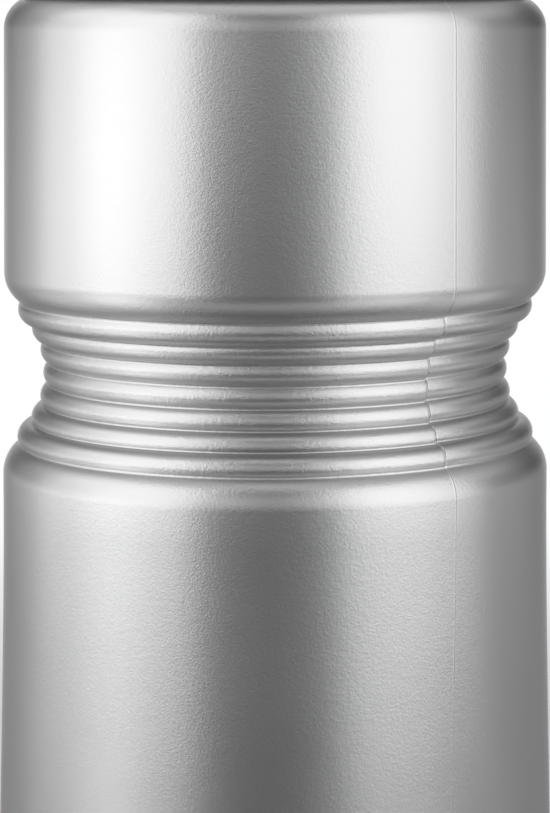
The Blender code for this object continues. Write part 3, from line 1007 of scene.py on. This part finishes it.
grain_sockets = [("Size", 0.0005), ("Rib Depth", 1.0)]
grain_group, grain_in, grain_out = node_group("mould_grain", grain_sockets, ["Height"])
fine = maths(grain_group, "DIVIDE", 1.0, grain_in.outputs["Size"])
coarse = maths(grain_group, "MULTIPLY", fine, COARSE_SCALE)
peel = maths(grain_group, "MULTIPLY", noise(grain_group, coarse), COARSE_SHARE)
height = maths(grain_group, "ADD", noise(grain_group, fine), peel)
ribbed = at_the_ribs(grain_group)
extra = maths(grain_group, "SUBTRACT", grain_in.outputs["Rib Depth"], 1.0)
height = maths(grain_group, "MULTIPLY", height, maths(grain_group, "MULTIPLY_ADD", ribbed, extra, 1.0))
grain_group.links.new(height, grain_out.inputs["Height"])

# %% [markdown]
# Hands leave a plastic a little duller in some places than in others, in patches of about 20 mm.
# Without this a smooth piece mirrors the lamps too evenly to be real.

# %% Node group: handling, which dulls a plastic unevenly
PATCH_DETAIL = 4.0
SHADE_RANGE = 0.06

handling_sockets = [("Roughness", 0.4), ("Unevenness", 0.05), ("Size", 0.02)]
handling_group, handling_in, handling_out = node_group("handling", handling_sockets, ["Roughness", "Shade"])
patch_scale = maths(handling_group, "DIVIDE", 1.0, handling_in.outputs["Size"])
patches = maths(handling_group, "SUBTRACT", noise(handling_group, patch_scale, PATCH_DETAIL), 0.5)
uneven = maths(handling_group, "MULTIPLY", patches, handling_in.outputs["Unevenness"])
dulled = maths(handling_group, "ADD", handling_in.outputs["Roughness"], uneven)
shade = maths(handling_group, "MULTIPLY_ADD", patches, SHADE_RANGE, 1.0)
handling_group.links.new(dulled, handling_out.inputs["Roughness"])
handling_group.links.new(shade, handling_out.inputs["Shade"])

# %% [markdown]
# The upper side of each bead is a small ledge beside the valley, and its colour is made darker than the
# crests':
# painted shade, standing in for the shade and dark reflection in the valleys. The height of the surface's
# normal finds these ledges.

# %% Node group: painted shade on the ledges between the beads
LEDGE_FROM = 0.50
LEDGE_TO = 0.92

# Painted shade: the colour is darkened where the normal faces up, on the beads' upper sides.
ledge_shade_group, ledge_shade_in, ledge_shade_out = node_group("ledge_painted_shade", [("Darkness", 0.0)], ["Shade"])
facing = ledge_shade_group.nodes.new("ShaderNodeTexCoord")
split = ledge_shade_group.nodes.new("ShaderNodeSeparateXYZ")
ledge_shade_group.links.new(facing.outputs["Normal"], split.inputs["Vector"])
ledge = rise(ledge_shade_group, split.outputs["Z"], LEDGE_FROM, LEDGE_TO)
rib_ledge = maths(ledge_shade_group, "MULTIPLY", ledge, at_the_ribs(ledge_shade_group))
painted_darkening = maths(ledge_shade_group, "MULTIPLY", rib_ledge, ledge_shade_in.outputs["Darkness"])
ledge_shade_group.links.new(maths(ledge_shade_group, "SUBTRACT", 1.0, painted_darkening), ledge_shade_out.inputs["Shade"])
print("shared finishes:", grain_group.name, handling_group.name, ledge_shade_group.name)

# %% [markdown]
# One function makes every plastic, because they differ only in colour, gloss and grain.
# Copies of one material would do too, but then a change to the grain would have to be made five times.


# %% A plastic
def add_group(tree, group, **values):
    """Adds a node group to a material and sets its values, named with lines for spaces."""
    node = tree.nodes.new("ShaderNodeGroup")
    node.node_tree = group
    for socket, value in values.items():
        node.inputs[socket.replace("_", " ")].default_value = value
    return node


def plastic(name, colour, roughness, grain, depth, metallic=0.0, ribs=1.0, painted_shade=0.0):
    """A moulded plastic with its grain, its uneven gloss and shade, and painted shade between the beads."""
    made = bpy.data.materials.new(name)
    made.use_nodes = True
    tree = made.node_tree
    shader = tree.nodes["Principled BSDF"]
    shader.inputs["Metallic"].default_value = metallic
    handling = add_group(tree, handling_group, Roughness=roughness)
    # Painted shade between the beads darkens the colour.
    ledge_shade = add_group(tree, ledge_shade_group, Darkness=painted_shade)
    peel = add_group(tree, grain_group, Size=grain, Rib_Depth=ribs)
    tint = tree.nodes.new("ShaderNodeVectorMath")
    tint.operation = "SCALE"
    tint.inputs["Vector"].default_value = colour
    shade = maths(tree, "MULTIPLY", handling.outputs["Shade"], ledge_shade.outputs["Shade"])
    tree.links.new(shade, tint.inputs["Scale"])
    tree.links.new(tint.outputs["Vector"], shader.inputs["Base Color"])
    tree.links.new(handling.outputs["Roughness"], shader.inputs["Roughness"])
    bump = tree.nodes.new("ShaderNodeBump")
    bump.inputs["Strength"].default_value = 1.0
    bump.inputs["Distance"].default_value = depth
    tree.links.new(peel.outputs["Height"], bump.inputs["Height"])
    tree.links.new(bump.outputs["Normal"], shader.inputs["Normal"])
    return made


# %% [markdown]
# The body is polyethylene full of fine metal flakes, so it mirrors as a dull metal does: it is metallic
# for the most part, and its colour is the flakes' grey. The cap is stiff black polypropylene and the valve
# is grey. The seals are dark rubber, and the sleeve is a soft, matt one.

# %% Dress the pieces
SILVER = (0.58, 0.58, 0.585)
BLACK = (0.022, 0.022, 0.024)
GREY = (0.30, 0.30, 0.31)
SEAL_BLACK = (0.05, 0.05, 0.052)
MOUTH_BLACK = (0.05, 0.05, 0.054)

silver = plastic(
    "silver_polyethylene",
    SILVER,
    roughness=0.33,
    metallic=0.92,
    grain=0.00026,
    depth=0.000018,
    ribs=1.95,
    # painted shade on the beads' upper sides, darkening their colour by up to 40%
    painted_shade=0.4,
)
black = plastic("black_polypropylene", BLACK, roughness=0.42, grain=0.0003, depth=0.000008)
grey = plastic("grey_polypropylene", GREY, roughness=0.38, grain=0.0003, depth=0.000006)
rubber = plastic("seal_rubber", SEAL_BLACK, roughness=0.6, grain=0.0004, depth=0.00001)
soft = plastic("soft_mouthpiece", MOUTH_BLACK, roughness=0.5, grain=0.0004, depth=0.00001)

for finish, dressed in (
    (silver, [bottle, neck_thread]),
    (black, [closure, cap_thread]),
    (rubber, [rim_seal, spout_seal]),
    (grey, [insert, spout]),
    (soft, [sleeve]),
):
    for piece in dressed:
        piece.data.materials.append(finish)
hidden = sorted(name for name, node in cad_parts.items() if node.hide_render)
print("hidden CAD nodes:", ", ".join(hidden))

# %% [markdown]
# ## Floor, room and light
# Light that depends on direction is made from two shapes: a climb from one value to another,
# and a window between two directions round the axis.
# Directions are given in degrees: 0 is towards the camera, and they grow to the right.
# Heights of a direction go from -1, straight down, over 0 at the horizon to 1, straight up.

# %% Helpers for light that depends on direction
EDGE_SOFT = 6.0


def window(tree, value, start, end, level):
    """A level between two directions, with soft edges."""
    into = rise(tree, value, start - EDGE_SOFT, start + EDGE_SOFT)
    out_of = rise(tree, value, end + EDGE_SOFT, end - EDGE_SOFT, level)
    return maths(tree, "MULTIPLY", into, out_of)


def combine(tree, operation, values):
    """One value from several, by the same operation from the first to the last."""
    result = values[0]
    for value in values[1:]:
        result = maths(tree, operation, result, value)
    return result


def mix_in(tree, shader, fac, other):
    """Mixes another shader over this one."""
    mix = tree.nodes.new("ShaderNodeMixShader")
    tree.links.new(fac, mix.inputs["Fac"])
    tree.links.new(shader, mix.inputs[1])
    tree.links.new(other, mix.inputs[2])
    return mix.outputs["Shader"]


# %% [markdown]
# The bottle stands on a plain pale floor, which takes its shadow. Far from the bottle the floor turns
# plain white, as the backdrop is, but only to the camera: it adds no light to the bottle.
# To mirrored rays the floor is clear, so that the beads' undersides mirror the sheets of light below.

# %% Floor
FLOOR_SIZE = 12.0
FLOOR_PALE = (0.80, 0.80, 0.80, 1)
FLOOR_ROUGHNESS = 0.6
WHITE_FROM = 0.22
WHITE_TO = 0.62

floor_finish = bpy.data.materials.new("pale_floor")
floor_finish.use_nodes = True
tree = floor_finish.node_tree
pale = tree.nodes["Principled BSDF"]
pale.inputs["Base Color"].default_value = FLOOR_PALE
pale.inputs["Roughness"].default_value = FLOOR_ROUGHNESS
x, y = place_of(tree)[:2]
squares = [maths(tree, "MULTIPLY", x, x), maths(tree, "MULTIPLY", y, y)]
reach = maths(tree, "SQRT", combine(tree, "ADD", squares))
path = tree.nodes.new("ShaderNodeLightPath")
white = tree.nodes.new("ShaderNodeEmission")
clear = tree.nodes.new("ShaderNodeBsdfTransparent")
far_off = rise(tree, reach, WHITE_FROM, WHITE_TO)
far_white = maths(tree, "MULTIPLY", path.outputs["Is Camera Ray"], far_off)
surface = mix_in(tree, pale.outputs["BSDF"], far_white, white.outputs["Emission"])
surface = mix_in(tree, surface, path.outputs["Is Glossy Ray"], clear.outputs["BSDF"])
tree.links.new(surface, tree.nodes["Material Output"].inputs["Surface"])

ground = bmesh.new()
bmesh.ops.create_grid(ground, x_segments=1, y_segments=1, size=FLOOR_SIZE / 2)
floor_mesh = bpy.data.meshes.new("floor")
ground.to_mesh(floor_mesh)
ground.free()
floor_mesh.materials.append(floor_finish)
floor = put_in_scene("floor", floor_mesh)
print("floor (m):", FLOOR_SIZE)

# %% [markdown]
# The bottle's skin mirrors the whole room, so the room matters more than the lamps.
# In front it is dark but for faint strips between the lamps, behind it is white, and above it is soft light.
# A picture of a room would do, but a few strips can be set one by one against what the skin shows.
# Each strip in front has two directions round the axis and a level.

# %% Room: above the horizon
ZENITH = 0.74
ZENITH_FROM = (0.78, 0.92)
UP_BACK = 0.43
UP_BACK_FROM = (0.30, 0.55)
BACK_HALF = (-0.15, 0.15)
BEHIND = 1.0
BEHIND_SIDES = (0.90, 0.98)
BEHIND_TOP = (0.50, 0.25)
BEHIND_FOOT = (-0.40, -0.10)
FRONT_TOP = (0.70, 0.50)
FRONT_FOOT = (-0.05, 0.03)
FRONT = (
    (-31, -11, 0.61),
    (-11, 11, 0.24),
    (11, 26, 0.71),
)

world = bpy.data.worlds.new("studio")
bpy.context.scene.world = world
world.use_nodes = True
sky = world.node_tree
x, y, z, turn = place_of(sky)
strips = combine(sky, "ADD", [window(sky, turn, *strip) for strip in FRONT])
front = combine(sky, "MULTIPLY", [strips, rise(sky, z, *FRONT_TOP), rise(sky, z, *FRONT_FOOT)])
back = maths(sky, "MULTIPLY", rise(sky, z, *UP_BACK_FROM), rise(sky, y, *BACK_HALF, UP_BACK))
wall = rise(sky, y, *BEHIND_SIDES, BEHIND)
behind = combine(sky, "MULTIPLY", [wall, rise(sky, z, *BEHIND_TOP), rise(sky, z, *BEHIND_FOOT)])
above = rise(sky, z, *ZENITH_FROM, ZENITH)
print("strips in front:", len(FRONT))

# %% [markdown]
# The undersides of the beads and of the upper chamber mirror what lies below the bottle.
# Bright sheets lie there at both sides. Just under the horizon there is only a faint glow,
# and towards straight below the sheets grow dark.
# Each sheet has two directions round the axis, its glow, its level and the height at which it starts.

# %% Room: sheets of light below the horizon
BELOW = (
    (-127, -33, 0.20, 0.65, -0.30),
    (-90, -58, 0.40, 1.25, -0.30),
    (30, 72, 0.18, 1.40, -0.38),
    (72, 118, 0.0, 0.70, -0.38),
    (-33, 30, 0.0, 0.70, -0.56),
)
HORIZON = (0.02, -0.02)
GLOW_END = (-0.25, -0.15)
SHEET_EDGE = 0.03
SHEET_END = (-1.02, -0.42)
BACK_BELOW = 0.24
BACK_BELOW_HALF = (-0.05, 0.10)

fade = rise(sky, z, *SHEET_END)
below = [maths(sky, "MULTIPLY", rise(sky, z, *HORIZON), rise(sky, y, *BACK_BELOW_HALF, BACK_BELOW))]
for first, last, glow, level, start in BELOW:
    faint = maths(sky, "MULTIPLY", rise(sky, z, *HORIZON, glow), rise(sky, z, *GLOW_END))
    sheet = maths(sky, "MULTIPLY", rise(sky, z, start + SHEET_EDGE, start - SHEET_EDGE, level), fade)
    both = maths(sky, "ADD", faint, sheet)
    below.append(maths(sky, "MULTIPLY", both, window(sky, turn, first, last, 1)))
print("sheets below:", len(BELOW))

# %% [markdown]
# The room's parts add up, with a trace of light from everywhere. The camera doesn't see the room:
# to it, and through anything clear, the world is plain white.

# %% Room: put together, with white for the camera
BASE = 0.02
WHITE = (1, 1, 1, 1)

room = sky.nodes["Background"]
room.inputs["Color"].default_value = WHITE
room_level = combine(sky, "ADD", [front, back, behind, above, *below])
sky.links.new(maths(sky, "ADD", room_level, BASE), room.inputs["Strength"])
backdrop = sky.nodes.new("ShaderNodeBackground")
backdrop.inputs["Color"].default_value = WHITE
path = sky.nodes.new("ShaderNodeLightPath")
shows_white = maths(sky, "MAXIMUM", path.outputs["Is Camera Ray"], path.outputs["Is Transmission Ray"])
surface = mix_in(sky, room.outputs["Background"], shows_white, backdrop.outputs["Background"])
sky.links.new(surface, sky.nodes["World Output"].inputs["Surface"])

# %% [markdown]
# Softboxes stand at both sides, a little in front of the bottle, and make the two wide upright highlights.
# Between them lies the dark strip that mirrors the unlit room behind the camera.
# Each softbox has a direction round the axis, half the angle that it spans, its height and its level:
# a lamp's power is worked out from its size, so that a level of 1 mirrors as white.

# %% Softboxes
LAMP_DISTANCE = 0.55
SOFTBOXES = (
    ("left_softbox", -58.5, 27.0, 0.92, 1.68),
    ("left_side", -98.5, 13.0, 0.92, 1.12),
    ("left_back", -125, 13.0, 0.70, 0.25),
    ("right_softbox", 47.0, 21.0, 0.87, 1.74),
    ("right_side", 78.5, 10.5, 0.87, 1.38),
    ("right_back", 108.0, 18.0, 0.70, 0.16),
)


def softbox(name, azimuth, half_angle, height, level):
    """An upright lamp that stands on the floor, faces the axis and spans half_angle to both sides."""
    width = 2 * LAMP_DISTANCE * math.tan(math.radians(half_angle))
    lamp = bpy.data.lights.new(name, "AREA")
    lamp.shape = "RECTANGLE"
    lamp.size = width
    lamp.size_y = height
    lamp.energy = level * math.pi * width * height
    thing = put_in_scene(name, lamp)
    turn = math.radians(azimuth)
    thing.location = (LAMP_DISTANCE * math.sin(turn), -LAMP_DISTANCE * math.cos(turn), height / 2)
    thing.rotation_euler = (math.radians(90), 0, turn)
    thing.visible_camera = False


for box in SOFTBOXES:
    softbox(*box)
print("softboxes:", len(SOFTBOXES))

# %% [markdown]
# Colours are shown as they are, with no film look.

# %% Colours as they are
bpy.context.scene.view_settings.view_transform = "Standard"
